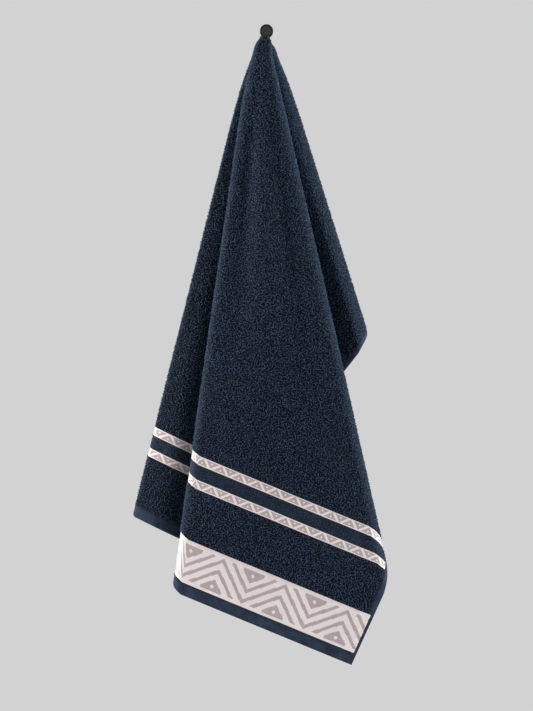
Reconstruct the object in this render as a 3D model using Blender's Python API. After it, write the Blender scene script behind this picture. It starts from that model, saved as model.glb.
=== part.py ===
"""Hand towel hung by its middle on a plain wall hook.

Units are metres, +Z up. The origin is the centre of the hook's flat back face, on the wall plane y = 0.
The towel hangs in front of the wall, towards -Y, and is seen face on along +Y.

The towel is one rectangle of terry cloth. It rests on the hook's wire at one point of the cloth, the hanging
point. Straight rays run from that point to the rectangle's edges, and each fold of the hung cloth follows one ray.
"""

import math

import bmesh
import bpy
from mathutils import Vector

# The flat towel, and where the hanging point lies on it
TOWEL_WIDTH = 0.500
TOWEL_LENGTH = 0.910
POINT_TO_BAND_END = 0.4810      # the end with the wide woven band, which hangs in front
POINT_TO_RIGHT_SIDE = 0.291
TERRY_THICKNESS = 0.0025
TOP_THICKNESS = 0.0013          # pulled tight over the wire
HEM_THICKNESS = 0.0018
HEM_WIDTH = 0.009

# The hook: a round boss on the wall, and a dipped wire that leaves it below its centre
BOSS_RADIUS = 0.0060
BOSS_DEPTH = 0.012
BOSS_BEVEL = 0.0011
WIRE_RADIUS = 0.0015
WIRE_X = -0.0016
WIRE_START_Z = -0.0040
WIRE_LOW_Z = -0.0120
WIRE_END_Y = -0.0675
WIRE_END_RISE = 0.0012
WIRE_DROP = 0.0065
WIRE_END_TAPER = 0.7
WIRE_STEPS = 24
WIRE_GAP_DEPTH = 0.0018         # the gathered top stays open this far in from its back, round the wire

# How the layers of cloth are spread from the front of the bundle to its back
SEAT_GAP = 0.0003
FRONT_Y = -0.0715               # the front layer where it leaves the wire
BUNDLE_DEPTH = 0.0596           # table depth of the back layer
TOP_SPREAD = 0.90               # share of the table depths at the wire
LOW_SPREAD = 1.22               # share of the table depths half a metre below
SPREAD_LENGTH = 0.500
GATHER_LENGTH = 0.0045          # the folds open out of the gathered top over this length
TOP_HALF_WIDTH = 0.0052         # middle of the cloth beside the wire
WALL_FADE = 0.010               # ... which the folds leave behind at this rate
LAYER_PITCH = 0.0034            # table depth from one layer to the next
SETTLE_FROM = 0.6               # a panel moves into its own layer from this width on, as a share of the pitch
THICKENING_LENGTH = 0.045       # the cloth is back to its own thickness here
TURN_SHARE = 0.34               # a rounded turn takes at most this share of its panel's width
BOW_RISE = 0.019
BOW_END = 0.475
FRONT_BULGE = 0.007             # the front panel's middle stands forward
BULGE_RISE = 0.25
BULGE_LOSS = 0.35               # share of it that is gone half a metre below
SWAY = 0.0022                   # slow bend that all layers share
SWAY_LENGTH = 0.46
SWAY_RISE = 0.30
SWAY_SLANT = 9.0                # radians of the bend for each metre across

# Mesh steps
TURN_STEPS = 6
PANEL_STEPS = 4
TOP_ROWS = (0.0, 0.0022, 0.0046, 0.0076, 0.013, 0.022, 0.038, 0.065)
ROW_SHARES = (0.13, 0.29, 0.46, 0.64, 0.82)
ROOF_ANGLES = (35, 70)

# One row for each fold, in the order met when walking once round the hanging point on the flat cloth.
#   lean   degrees from straight down, positive to the right, at which the fold hangs
#   bow    millimetres that the fold swings outwards from a straight line, near its top
#   flat   degrees round the hanging point on the flat cloth, from the line to the band end
#   roll   degrees of flat cloth taken by each half of the rounded turn
#   round  millimetres of the turn's greatest half width
#   depth  millimetres behind the front panel of the layer that follows the fold
#   reach  share of the flat ray that hangs below the wire
FOLD_COLUMNS = ("name", "lean", "bow", "flat", "roll", "round", "depth", "reach")
RIGHT_WALL_FOLDS = ("front_right", "pocket", "right_outline")
FOLD_ROWS = (
    ("front_left", -9.45, -11.0, 11.2, 4.4, 9.0, 0.0, 1.000),
    ("front_right", 13.00, 2.5, 37.4, 2.2, 8.0, 25.6, 1.000),
    ("pocket", 1.00, -3.0, 50.5, 1.0, 4.0, 29.0, 1.000),
    ("right_outline", 18.50, 9.6, 82.0, 14.0, 13.0, 59.6, 0.940),
    ("back_one", -12.00, -6.0, 124.0, 1.0, 4.0, 56.2, 0.985),
    ("back_two", 5.00, 1.0, 142.0, 1.0, 4.0, 52.8, 0.975),
    ("back_three", -5.00, -3.0, 153.5, 1.0, 4.0, 49.4, 0.970),
    ("back_four", 6.00, 1.0, 168.0, 1.0, 4.0, 46.0, 0.980),
    ("left_outline", -15.35, -11.0, 192.6, 1.2, 4.0, 42.6, 1.000),
    ("inner_one", 11.50, 1.0, 219.5, 1.0, 4.0, 39.2, 0.985),
    ("inner_two", -8.40, -6.0, 239.5, 1.0, 4.0, 35.8, 0.970),
    ("inner_three", 14.60, 3.5, 264.5, 1.0, 4.0, 32.4, 0.970),
    ("inner_four", -8.40, -6.5, 289.5, 1.5, 6.0, 22.2, 0.970),
    ("inner_five", 8.20, 1.0, 308.4, 1.0, 4.0, 18.8, 0.970),
    ("inner_six", -8.40, -6.5, 328.0, 1.0, 4.0, 15.4, 0.960),
    ("inner_seven", 10.60, 1.0, 348.5, 1.0, 4.0, 12.0, 0.970),
)

TERRY_COLOUR = (0.017, 0.030, 0.055)
HOOK_COLOUR = (0.035, 0.035, 0.036)


def clear_scene():
    for thing in list(bpy.data.objects):
        bpy.data.objects.remove(thing, do_unlink=True)


def make_material(name, colour, roughness, metallic):
    material = bpy.data.materials.new(name)
    material.use_nodes = True
    shader = material.node_tree.nodes["Principled BSDF"]
    shader.inputs["Base Color"].default_value = (*colour, 1.0)
    shader.inputs["Roughness"].default_value = roughness
    shader.inputs["Metallic"].default_value = metallic
    return material


def add_object(name, mesh, material):
    piece = bpy.data.objects.new(name, mesh)
    bpy.context.collection.objects.link(piece)
    mesh.materials.append(material)
    return piece


def smooth_step(value):
    value = min(max(value, 0.0), 1.0)
    return value * value * (3.0 - 2.0 * value)


def mix(start, end, share):
    return start + (end - start) * share


def wire_height(y):
    """Height of the wire's axis at a distance in front of the wall: a steep drop, then nearly level."""
    out = -BOSS_DEPTH - y
    rise = WIRE_END_RISE * (out / (-BOSS_DEPTH - WIRE_END_Y)) ** 2
    return mix(WIRE_LOW_Z, WIRE_START_Z, math.exp(-out / WIRE_DROP)) + rise


def wire_slope(y):
    return (wire_height(y + WIRE_RADIUS) - wire_height(y - WIRE_RADIUS)) / (2.0 * WIRE_RADIUS)


def edge_feet():
    """Each straight edge of the flat towel: the direction and the length of the line to it from the point."""
    return (
        (0.0, POINT_TO_BAND_END),
        (90.0, POINT_TO_RIGHT_SIDE),
        (180.0, TOWEL_LENGTH - POINT_TO_BAND_END),
        (270.0, TOWEL_WIDTH - POINT_TO_RIGHT_SIDE),
    )


def nearest_edge(flat):
    """Length of the ray to the rectangle's edge, and that edge's own distance from the hanging point."""
    best = None
    for foot, distance in edge_feet():
        facing = math.cos(math.radians(flat - foot))
        if facing > 0.05:
            length = distance / facing
            if best is None or length < best[0]:
                best = (length, distance)
    return best


def corner_angles():
    feet = edge_feet()
    angles = []
    for index, (foot, distance) in enumerate(feet):
        next_distance = feet[(index + 1) % len(feet)][1]
        angles.append(foot + math.degrees(math.atan2(next_distance, distance)))
    return angles


def read_folds():
    folds = [dict(zip(FOLD_COLUMNS, row)) for row in FOLD_ROWS]
    for fold in folds:
        for column in ("bow", "round", "depth"):
            fold[column] *= 0.001
        fold["wall"] = 1.0 if fold["name"] in RIGHT_WALL_FOLDS else -1.0
    return folds


def walk_round(folds):
    """Stations once round the hanging point. Each lies in a panel or in the rounded turn at a fold."""
    stations = []
    count = len(folds)
    corners = corner_angles()
    for index, fold in enumerate(folds):
        following = folds[(index + 1) % count]
        turn = 360.0 if index == count - 1 else 0.0
        depth_before = folds[index - 1]["depth"]
        for step in range(TURN_STEPS):
            half = 2.0 * step / TURN_STEPS - 1.0
            stations.append({
                "fold": index, "half": half, "panel": None,
                "flat": fold["flat"] + half * fold["roll"],
                "reach": fold["reach"],
                "depths": (depth_before, fold["depth"]),
            })
        start = fold["flat"] + fold["roll"]
        end = following["flat"] + turn - following["roll"]
        shares = [step / PANEL_STEPS for step in range(PANEL_STEPS)]
        for corner in corners:
            inside = (corner - start) / (end - start)
            if 0.02 < inside < 0.98:
                nearest = min(range(1, PANEL_STEPS), key=lambda step: abs(shares[step] - inside))
                shares[nearest] = inside
        for share in shares:
            stations.append({
                "fold": index, "half": 1.0, "panel": share,
                "flat": mix(start, end, share),
                "reach": mix(fold["reach"], following["reach"], share),
                "depths": (depth_before, fold["depth"]),
            })
    return stations


def tip_depths(folds):
    """Depth at which each fold's tip meets the gathered top."""
    depths = []
    for index, fold in enumerate(folds):
        depths.append(0.5 * (folds[index - 1]["depth"] + fold["depth"]))
    return depths


def spread_at(length):
    return mix(TOP_SPREAD, LOW_SPREAD, length / SPREAD_LENGTH)


def depth_to_y(depth, length):
    """The back-to-front middle of the bundle hangs plumb, and the layers spread about it."""
    middle_y = FRONT_Y + 0.5 * BUNDLE_DEPTH * TOP_SPREAD
    return middle_y + (depth - 0.5 * BUNDLE_DEPTH) * spread_at(length)


def hang_line(fold, length):
    """Sideways place of a fold's tip at a length below the wire."""
    swing = (1.0 - math.exp(-length / BOW_RISE)) * max(1.0 - length / BOW_END, 0.0)
    wall = fold["wall"] * TOP_HALF_WIDTH * math.exp(-length / WALL_FADE)
    return length * math.sin(math.radians(fold["lean"])) + fold["bow"] * swing + wall


def flatness(width, opened):
    """How far a panel has settled into its own layer: not at all while it is narrow."""
    pitch = LAYER_PITCH * TOP_SPREAD
    return smooth_step(width * opened / pitch - SETTLE_FROM)


def hung_point(folds, station, length):
    """Middle of the cloth's thickness, at a length below the wire."""
    index = station["fold"]
    fold = folds[index]
    following = folds[(index + 1) % len(folds)]
    opened = smooth_step(length / GATHER_LENGTH)
    tip = hang_line(fold, length)
    next_tip = hang_line(following, length)
    before_width = abs(hang_line(folds[index - 1], length) - tip)
    width = abs(next_tip - tip)
    before, after = station["depths"]
    spread = spread_at(length)
    radius = min(0.5 * abs(after - before) * spread, fold["round"], TURN_SHARE * min(width, before_width))
    inward = 1.0 if next_tip > tip else -1.0
    settled = flatness(width, opened)
    bulge = 0.0
    if station["panel"] is None:
        angle = 0.5 * math.pi * station["half"]
        across = tip + inward * radius * (1.0 - math.cos(angle))
        settled_before = flatness(before_width, opened)
        start_depth = mix(fold["turn_top"][0], before, settled_before)
        end_depth = mix(fold["turn_top"][1], after, settled)
        roundness = min(settled, settled_before)
        depth = mix(start_depth, end_depth, 0.5 + 0.5 * mix(station["half"], math.sin(angle), roundness))
        lean = fold["lean"]
    else:
        next_depth = 0.5 * abs(following["depth"] - after) * spread
        next_radius = min(next_depth, following["round"], TURN_SHARE * width)
        share = station["panel"]
        across = mix(tip + inward * radius, next_tip - inward * next_radius, share)
        depth = mix(station["top_depth"], after, settled)
        lean = mix(fold["lean"], following["lean"], share)
        if index == 0:
            rise = smooth_step(length / BULGE_RISE) * (1.0 - BULGE_LOSS * length / SPREAD_LENGTH)
            bulge = FRONT_BULGE * 4.0 * share * (1.0 - share) * rise
    bend = math.sin(2.0 * math.pi * length / SWAY_LENGTH + SWAY_SLANT * across)
    y = depth_to_y(depth, length) - bulge + SWAY * bend * smooth_step(length / SWAY_RISE)
    top = gathered_point(station)
    x = mix(top.x, WIRE_X + across, opened)
    return Vector((x, y, wire_height(top.y) - length * math.cos(math.radians(lean))))


def gathered_point(station):
    """Where the cloth leaves the wire: a long narrow loop round it, seen from above."""
    depth = station["top_depth"]
    y = depth_to_y(depth, 0.0)
    end = min(depth, BUNDLE_DEPTH - depth) * TOP_SPREAD
    narrowing = math.sqrt(max(1.0 - max(1.0 - end / TOP_HALF_WIDTH, 0.0) ** 2, 0.0))
    return Vector((WIRE_X + station["side"] * TOP_HALF_WIDTH * narrowing, y, 0.0))


def settle_sides(folds, stations):
    """Gives each station its wall of the gathered top, right (1) or left (-1), and its depth there."""
    tips = tip_depths(folds)
    count = len(folds)
    per_fold = {}
    for station in stations:
        per_fold.setdefault(station["fold"], []).append(station)
    for index in range(count):
        members = per_fold[index]
        tip_place = TURN_STEPS // 2
        span = len(members)
        following = (index + 1) % count
        for place, station in enumerate(members):
            share = (place - tip_place) / span
            if share < 0.0:
                first, last = tips[index - 1], tips[index]
                share += 1.0
                gap = (index - 1) % count
            else:
                first, last = tips[index], tips[following]
                gap = index
            wall, next_wall = folds[gap]["wall"], folds[(gap + 1) % count]["wall"]
            station["side"] = wall if share < 0.5 else next_wall
            if wall == next_wall:
                station["top_depth"] = mix(first, last, share)
            else:
                end_depth = 0.0 if wall < next_wall else BUNDLE_DEPTH
                from_end = abs(share - 0.5) * 2.0
                station["top_depth"] = mix(end_depth, first if share < 0.5 else last, from_end)
        folds[index]["turn_top"] = (members[0]["top_depth"], members[TURN_STEPS]["top_depth"])


def middle_grid(folds, stations):
    """Rows of points from the wire down to the hem's edge, for each station."""
    grid = []
    roof = 0.5 * math.pi * (WIRE_RADIUS + SEAT_GAP + 0.5 * TOP_THICKNESS)
    for station in stations:
        ray, foot = nearest_edge(station["flat"])
        hanging = ray * station["reach"] - roof
        hem_start = hanging * (1.0 - HEM_WIDTH / foot)
        lengths = list(TOP_ROWS)
        lengths += [mix(TOP_ROWS[-1], hem_start, share) for share in ROW_SHARES]
        lengths += [hem_start, hanging]
        grid.append([hung_point(folds, station, length) for length in lengths])
    return grid


def row_thickness(row, rows):
    if row >= rows - 1:
        return HEM_THICKNESS
    if row >= len(TOP_ROWS):
        return TERRY_THICKNESS
    return mix(TOP_THICKNESS, TERRY_THICKNESS, smooth_step(TOP_ROWS[row] / THICKENING_LENGTH))


def shell_points(grid):
    """Outer and inner faces of the cloth, half its thickness either side of the middle."""
    outer, inner = [], []
    columns, rows = len(grid), len(grid[0])
    for column in range(columns):
        before, after = grid[column - 1], grid[(column + 1) % columns]
        outer_column, inner_column = [], []
        for row in range(rows):
            along = after[row] - before[row]
            down = grid[column][min(row + 1, rows - 1)] - grid[column][max(row - 1, 0)]
            if row == 0:
                down = Vector((0.0, 0.0, -1.0))
                along.z = 0.0
            normal = down.cross(along).normalized()
            half = 0.5 * row_thickness(row, rows)
            outer_column.append(grid[column][row] + normal * half)
            inner_column.append(grid[column][row] - normal * half)
        outer.append(outer_column)
        inner.append(inner_column)
    return outer, inner


def add_roof(shell, radius):
    """Carries the top of one face of the cloth up over the wire, as rows above its first row."""
    roofed = []
    highest = math.sin(math.radians(ROOF_ANGLES[-1]))
    for column in shell:
        base = column[0]
        rows = []
        for angle in reversed(ROOF_ANGLES):
            turn = math.radians(angle)
            across = (base.x - WIRE_X) * math.cos(turn)
            height = radius * math.hypot(1.0, wire_slope(base.y)) * math.sin(turn) / highest
            rows.append(Vector((WIRE_X + across, base.y, base.z + height)))
        roofed.append(rows + column)
    return roofed


def cloth_faces(stations, rows):
    """Faces of one side of the cloth as (column, row) corners, open behind where the wire comes in."""
    columns = len(stations)
    rounded = [
        place for place, station in enumerate(stations)
        if station["top_depth"] > BUNDLE_DEPTH - WIRE_GAP_DEPTH
    ]
    gap_start, gap_end = rounded[0] - 1, rounded[-1] + 1
    open_rows = len(ROOF_ANGLES) + 2
    faces = []
    for column in range(columns):
        after = (column + 1) % columns
        for row in range(rows - 1):
            if row < open_rows and gap_start <= column < gap_end:
                continue
            faces.append([(column, row), (column, row + 1), (after, row + 1), (after, row)])
    return faces + lid_faces(stations, gap_start, gap_end)


def lid_faces(stations, gap_start, gap_end):
    """Closes the top over the wire with triangles between the right and the left wall, from front to back."""
    columns = len(stations)
    depths = [station["top_depth"] for station in stations]
    front = depths.index(min(depths))
    right = list(range(front, gap_start + 1))
    left = [column % columns for column in range(front, gap_end - columns - 1, -1)]
    faces = []
    on_right, on_left = 1, 0
    while on_right < len(right) - 1 or on_left < len(left) - 1:
        last_right = on_right == len(right) - 1
        last_left = on_left == len(left) - 1
        corners = [left[on_left], right[on_right]]
        if last_left or (not last_right and depths[right[on_right + 1]] <= depths[left[on_left + 1]]):
            on_right += 1
            corners.append(right[on_right])
        else:
            on_left += 1
            corners.insert(0, left[on_left])
        faces.append([(column, 0) for column in corners])
    return faces


def open_edges(faces):
    edges = set()
    for face in faces:
        for start, end in zip(face, face[1:] + face[:1]):
            edges.add((start, end))
    return [edge for edge in edges if (edge[1], edge[0]) not in edges]


def build_towel(material):
    folds = read_folds()
    stations = walk_round(folds)
    settle_sides(folds, stations)
    outer, inner = shell_points(middle_grid(folds, stations))
    outer = add_roof(outer, WIRE_RADIUS + SEAT_GAP + TOP_THICKNESS)
    inner = add_roof(inner, WIRE_RADIUS + SEAT_GAP)
    faces = cloth_faces(stations, len(outer[0]))
    maker = bmesh.new()
    corners = sorted({corner for face in faces for corner in face})
    out = {(column, row): maker.verts.new(outer[column][row]) for column, row in corners}
    into = {(column, row): maker.verts.new(inner[column][row]) for column, row in corners}
    for face in faces:
        maker.faces.new([out[corner] for corner in face])
        maker.faces.new([into[corner] for corner in reversed(face)])
    for start, end in sorted(open_edges(faces)):
        maker.faces.new((out[end], out[start], into[start], into[end]))
    bmesh.ops.triangulate(maker, faces=maker.faces, ngon_method="EAR_CLIP")
    bmesh.ops.recalc_face_normals(maker, faces=maker.faces)
    mesh = bpy.data.meshes.new("towel")
    maker.to_mesh(mesh)
    maker.free()
    return add_object("towel", mesh, material)


def build_boss(material):
    """Round boss with its axis along Y and a bevelled front rim."""
    maker = bmesh.new()
    bmesh.ops.create_cone(
        maker, cap_ends=True, segments=40, radius1=BOSS_RADIUS, radius2=BOSS_RADIUS, depth=BOSS_DEPTH)
    bmesh.ops.rotate(maker, verts=maker.verts, matrix=turn_to_front())
    bmesh.ops.translate(maker, verts=maker.verts, vec=(0.0, -0.5 * BOSS_DEPTH, 0.0))
    front_rim = [
        edge for edge in maker.edges
        if all(abs(vert.co.y + BOSS_DEPTH) < 1e-6 for vert in edge.verts)
    ]
    bmesh.ops.bevel(
        maker, geom=front_rim, offset=BOSS_BEVEL, segments=3, profile=0.6, affect="EDGES")
    mesh = bpy.data.meshes.new("wall_hook")
    maker.to_mesh(mesh)
    maker.free()
    return add_object("wall_hook", mesh, material)


def turn_to_front():
    return Vector((0.0, 0.0, 1.0)).rotation_difference(Vector((0.0, -1.0, 0.0))).to_matrix()


def build_wire(material):
    """Round wire that dips in front of the boss, with a domed end."""
    curve = bpy.data.curves.new("wire_guide", "CURVE")
    curve.dimensions = "3D"
    curve.bevel_depth = WIRE_RADIUS
    curve.bevel_resolution = 2
    curve.use_fill_caps = True
    spline = curve.splines.new("POLY")
    start_y = -0.5 * BOSS_DEPTH
    spline.points.add(WIRE_STEPS)
    for step in range(WIRE_STEPS + 1):
        y = mix(start_y, WIRE_END_Y, step / WIRE_STEPS)
        spline.points[step].co = (WIRE_X, y, wire_height(min(y, -BOSS_DEPTH)), 1.0)
        if step == WIRE_STEPS:
            spline.points[step].radius = WIRE_END_TAPER
    guide = bpy.data.objects.new("wire_guide", curve)
    bpy.context.collection.objects.link(guide)
    wire_mesh = bpy.data.meshes.new_from_object(guide)
    bpy.data.objects.remove(guide, do_unlink=True)
    piece = add_object("wire", wire_mesh, material)
    piece.hide_render = True
    piece.display_type = "WIRE"
    return piece


def build_hook(material):
    boss = build_boss(material)
    wire = build_wire(material)
    union = boss.modifiers.new("wire", "BOOLEAN")
    union.operation = "UNION"
    union.solver = "EXACT"
    union.object = wire
    return boss


def main():
    clear_scene()
    build_towel(make_material("navy_terry", TERRY_COLOUR, 0.95, 0.0))
    build_hook(make_material("charcoal_metal", HOOK_COLOUR, 0.45, 0.6))


main()
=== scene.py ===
# Hand towel hung on a plain wall hook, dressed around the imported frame
from math import atan2, cos, degrees, exp, hypot, pi, radians, sin, sqrt

import bmesh
import bpy
import numpy as np
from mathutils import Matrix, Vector, noise
from mathutils.bvhtree import BVHTree
from mathutils.kdtree import KDTree


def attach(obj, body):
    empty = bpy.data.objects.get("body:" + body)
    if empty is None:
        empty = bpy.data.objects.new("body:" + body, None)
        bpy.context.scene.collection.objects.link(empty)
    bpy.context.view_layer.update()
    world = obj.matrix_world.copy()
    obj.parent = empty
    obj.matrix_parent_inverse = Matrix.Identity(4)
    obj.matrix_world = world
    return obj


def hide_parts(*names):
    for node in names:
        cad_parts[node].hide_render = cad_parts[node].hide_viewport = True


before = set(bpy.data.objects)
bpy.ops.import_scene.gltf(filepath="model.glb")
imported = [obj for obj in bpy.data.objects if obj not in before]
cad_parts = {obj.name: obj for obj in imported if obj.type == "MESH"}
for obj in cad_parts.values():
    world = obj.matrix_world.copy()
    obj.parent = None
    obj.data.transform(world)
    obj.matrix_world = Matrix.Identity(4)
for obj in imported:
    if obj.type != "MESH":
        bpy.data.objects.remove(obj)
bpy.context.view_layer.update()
print("frame loaded:", ", ".join(sorted(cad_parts)))


# shared sums

def smoothStep(value):
    value = min(max(value, 0.0), 1.0)
    return value * value * (3.0 - 2.0 * value)


def mix(start, end, share):
    return start + (end - start) * share


def linear(red, green, blue):  # a screen colour, 0 to 255, as scene light
    parts = []
    for part in (red, green, blue):
        part /= 255.0
        parts.append(part / 12.92 if part <= 0.04045 else ((part + 0.055) / 1.055) ** 2.4)
    return (*parts, 1.0)


def unit(rows):  # each row at length one
    return rows / np.maximum(np.linalg.norm(rows, axis=-1, keepdims=True), 1e-9)


def squareTo(normals, rows):  # each row without its part along the normal
    return rows - normals * np.sum(rows * normals, axis=1, keepdims=True)


def addObject(name, data):
    thing = bpy.data.objects.new(name, data)
    bpy.context.collection.objects.link(thing)
    return thing


# the flat towel, its woven borders and its hanging point, in metres
towelCut = {
    "width": 0.500,
    "length": 0.910,
    "pointHeight": 0.4810,      # hanging point above the banded end
    "pointAcross": 0.2090,      # hanging point from the left side
    "endHem": 0.0099,
    "sideHem": 0.0058,
}

borders = {
    "bandLow": 0.0104, "bandHigh": 0.0467,
    "bandPeriod": 0.0568, "bandPeakFromRight": 0.0217,
    "stripePeriod": 0.0169, "pick": 0.0008,     # one step of the woven figures
    "nearStripes": ((0.0907, 0.0983), (0.1108, 0.1183)),
    "farStripes": ((0.0540, 0.0610), (0.0725, 0.0797)),
}

# how it hangs: the solid's values, apart from a shorter gather, the front's slack, the dome and its swell
hang = {
    "wireX": -0.0016, "wireRadius": 0.0015, "seatGap": 0.0003,
    "wireStartZ": -0.0040, "wireLowZ": -0.0120, "wireDrop": 0.0065,
    "wireEndY": -0.0675, "wireEndRise": 0.0012, "bossDepth": 0.012, "wireGap": 0.0018,
    "frontY": -0.0715, "bundleDepth": 0.0596,
    "topSpread": 0.90, "lowSpread": 1.22, "spreadLength": 0.500,
    "gatherLength": 0.0034, "topHalfWidth": 0.0052, "wallFade": 0.010,
    "layerPitch": 0.0034, "settleFrom": 0.6, "turnShare": 0.34,
    "bowRise": 0.019, "bowEnd": 0.475,
    "frontBulge": 0.007, "bulgeRise": 0.25, "bulgeLoss": 0.35, "frontSlack": 0.0045,
    "sway": 0.0022, "swayLength": 0.46, "swayRise": 0.30, "swaySlant": 9.0,
    "domeLength": 0.0048, "domeShare": 0.26,     # the tip draws in to a dome
    "swell": 0.15, "swellAt": 0.0070, "swellHalf": 0.0056,
}

# the folds in the order met round the hanging point: lean, flat and roll in degrees, bow, round and depth
# in millimetres, and reach as a share of the flat ray
foldColumns = ("name", "lean", "bow", "flat", "roll", "round", "depth", "reach")
foldRows = (
    ("frontLeft", -9.45, -11.0, 11.2, 4.4, 9.0, 0.0, 1.000),
    ("frontRight", 13.00, 2.5, 37.4, 2.2, 8.0, 25.6, 1.000),
    ("pocket", 1.00, -3.0, 50.5, 1.0, 4.0, 29.0, 1.000),
    ("rightOutline", 18.50, 9.6, 82.0, 14.0, 13.0, 59.6, 0.940),
    ("backOne", -12.00, -6.0, 124.0, 1.0, 4.0, 56.2, 0.985),
    ("backTwo", 5.00, 1.0, 142.0, 1.0, 4.0, 52.8, 0.975),
    ("backThree", -5.00, -3.0, 153.5, 1.0, 4.0, 49.4, 0.970),
    ("backFour", 6.00, 1.0, 168.0, 1.0, 4.0, 46.0, 0.980),
    ("leftOutline", -15.35, -11.0, 192.6, 1.2, 4.0, 42.6, 1.000),
    ("innerOne", 11.50, 1.0, 219.5, 1.0, 4.0, 39.2, 0.985),
    ("innerTwo", -8.40, -6.0, 239.5, 1.0, 4.0, 35.8, 0.970),
    ("innerThree", 14.60, 3.5, 264.5, 1.0, 4.0, 32.4, 0.970),
    ("innerFour", -8.40, -6.5, 289.5, 1.5, 6.0, 22.2, 0.970),
    ("innerFive", 8.20, 1.0, 308.4, 1.0, 4.0, 18.8, 0.970),
    ("innerSix", -8.40, -6.5, 328.0, 1.0, 4.0, 15.4, 0.960),
    ("innerSeven", 10.60, 1.0, 348.5, 1.0, 4.0, 12.0, 0.970),
)
rightWallFolds = ("frontRight", "pocket", "rightOutline")
seenPanels = ("frontLeft", "pocket", "rightOutline", "leftOutline")

# the cloth's mesh: steps across and down, and thicknesses in metres
sheetMesh = {
    "turnSteps": 8, "roundTurnSteps": 14, "roundTurn": 5.0,
    "seenStep": 0.0072, "hiddenStep": 0.017, "widthAt": 0.4, "fewestSteps": 5, "cornerSlack": 0.02,
    "topRows": 22, "topLength": 0.065, "topCurve": 1.7,
    "bodyRows": 100, "lowerCrowd": 0.6,
    "hemRows": (0.0120, 0.0094, 0.0072, 0.0052, 0.0030, 0.0014, 0.0004, 0.0),
    "terryThick": 0.0017, "wovenThick": 0.0013, "hemThick": 0.0018,
    "rimThick": 0.0010, "rimWidth": 0.0016, "topThick": 0.0012, "thickening": 0.045,
    "roofAngles": (20, 40, 58, 74), "gapRows": 5,     # rows that stay open below the roof, behind the wire
    "uneven": 0.0007, "unevenSize": 0.045, "unevenRise": 0.12, "unevenSlice": 0.3,
    "tableRows": 420,
}
leastFacing = 0.05      # below this cosine a ray counts as running past an edge

# soft creases down the cloth: flat, drift and half in degrees on the flat cloth, forward in millimetres,
# start and end in metres below the wire
creaseColumns = ("name", "flat", "drift", "half", "forward", "start", "end")
creaseRows = (
    ("frontTrough", 19.0, 0.5, 2.6, -2.4, 0.03, 0.34),
    ("frontRidge", 23.6, 1.0, 2.2, 1.6, 0.02, 0.26),
    ("rightTrough", 30.5, 0.0, 2.4, -2.0, 0.03, 0.40),
    ("lowTrough", 25.0, -1.5, 2.8, -2.2, 0.30, 0.56),
    ("flapTrough", 203.0, 0.0, 3.2, -1.8, 0.06, 0.42),
    ("pocketTrough", 66.0, 0.0, 5.0, -1.6, 0.05, 0.33),
    ("backTrough", 104.0, 0.0, 6.0, 3.0, 0.04, 0.40),
    ("leftCrest", 196.5, 0.0, 2.6, 7.0, 0.03, 0.95),
    ("leftCrestBack", 188.3, 0.0, 3.0, 7.0, 0.03, 0.95),
    ("rightCrest", 69.5, 0.0, 4.6, 7.0, 0.03, 0.85),
)


# the hung cloth

def wireHeight(y):
    out = -hang["bossDepth"] - y
    rise = hang["wireEndRise"] * (out / (-hang["bossDepth"] - hang["wireEndY"])) ** 2
    return mix(hang["wireLowZ"], hang["wireStartZ"], exp(-out / hang["wireDrop"])) + rise


def wireSlope(y):
    reach = hang["wireRadius"]
    return (wireHeight(y + reach) - wireHeight(y - reach)) / (2.0 * reach)


def edgeFeet():  # direction and distance of each straight edge from the hanging point
    return (
        (0.0, towelCut["pointHeight"]),
        (90.0, towelCut["width"] - towelCut["pointAcross"]),
        (180.0, towelCut["length"] - towelCut["pointHeight"]),
        (270.0, towelCut["pointAcross"]),
    )


def nearestEdge(flat):
    best = None
    for foot, distance in edgeFeet():
        facing = cos(radians(flat - foot))
        if facing > leastFacing and (best is None or distance / facing < best[0]):
            best = (distance / facing, distance)
    return best


def cornerAngles():
    feet = edgeFeet()
    nextFeet = feet[1:] + feet[:1]
    return [foot + degrees(atan2(after, distance))
            for (foot, distance), (_, after) in zip(feet, nextFeet)]


def readFolds():
    folds = [dict(zip(foldColumns, row)) for row in foldRows]
    for fold in folds:
        for column in ("bow", "round", "depth"):
            fold[column] *= 0.001
        fold["wall"] = 1.0 if fold["name"] in rightWallFolds else -1.0
    return folds


def panelSteps(fold, following):
    width = abs(sin(radians(following["lean"])) - sin(radians(fold["lean"])))
    step = sheetMesh["seenStep"] if fold["name"] in seenPanels else sheetMesh["hiddenStep"]
    return max(round(width * sheetMesh["widthAt"] / step), sheetMesh["fewestSteps"])


def walkRound(folds):
    stations = []
    for index, fold in enumerate(folds):
        following = folds[(index + 1) % len(folds)]
        fullTurn = 360.0 if index == len(folds) - 1 else 0.0
        depths = (folds[index - 1]["depth"], fold["depth"])
        isRound = fold["round"] * 1000.0 > sheetMesh["roundTurn"]
        steps = sheetMesh["roundTurnSteps"] if isRound else sheetMesh["turnSteps"]
        for step in range(steps):
            half = 2.0 * step / steps - 1.0
            stations.append({
                "fold": index, "half": half, "panel": None, "reach": fold["reach"],
                "flat": fold["flat"] + half * fold["roll"], "depths": depths,
            })
        start = fold["flat"] + fold["roll"]
        end = following["flat"] + fullTurn - following["roll"]
        count = panelSteps(fold, following)
        shares = [step / count for step in range(count)]
        for corner in cornerAngles():
            inside = (corner - start) / (end - start)
            if sheetMesh["cornerSlack"] < inside < 1.0 - sheetMesh["cornerSlack"]:
                nearest = min(range(1, count), key=lambda step: abs(shares[step] - inside))
                shares[nearest] = inside
        for share in shares:
            stations.append({
                "fold": index, "half": 1.0, "panel": share,
                "reach": mix(fold["reach"], following["reach"], share),
                "flat": mix(start, end, share), "depths": depths,
            })
    return stations


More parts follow.
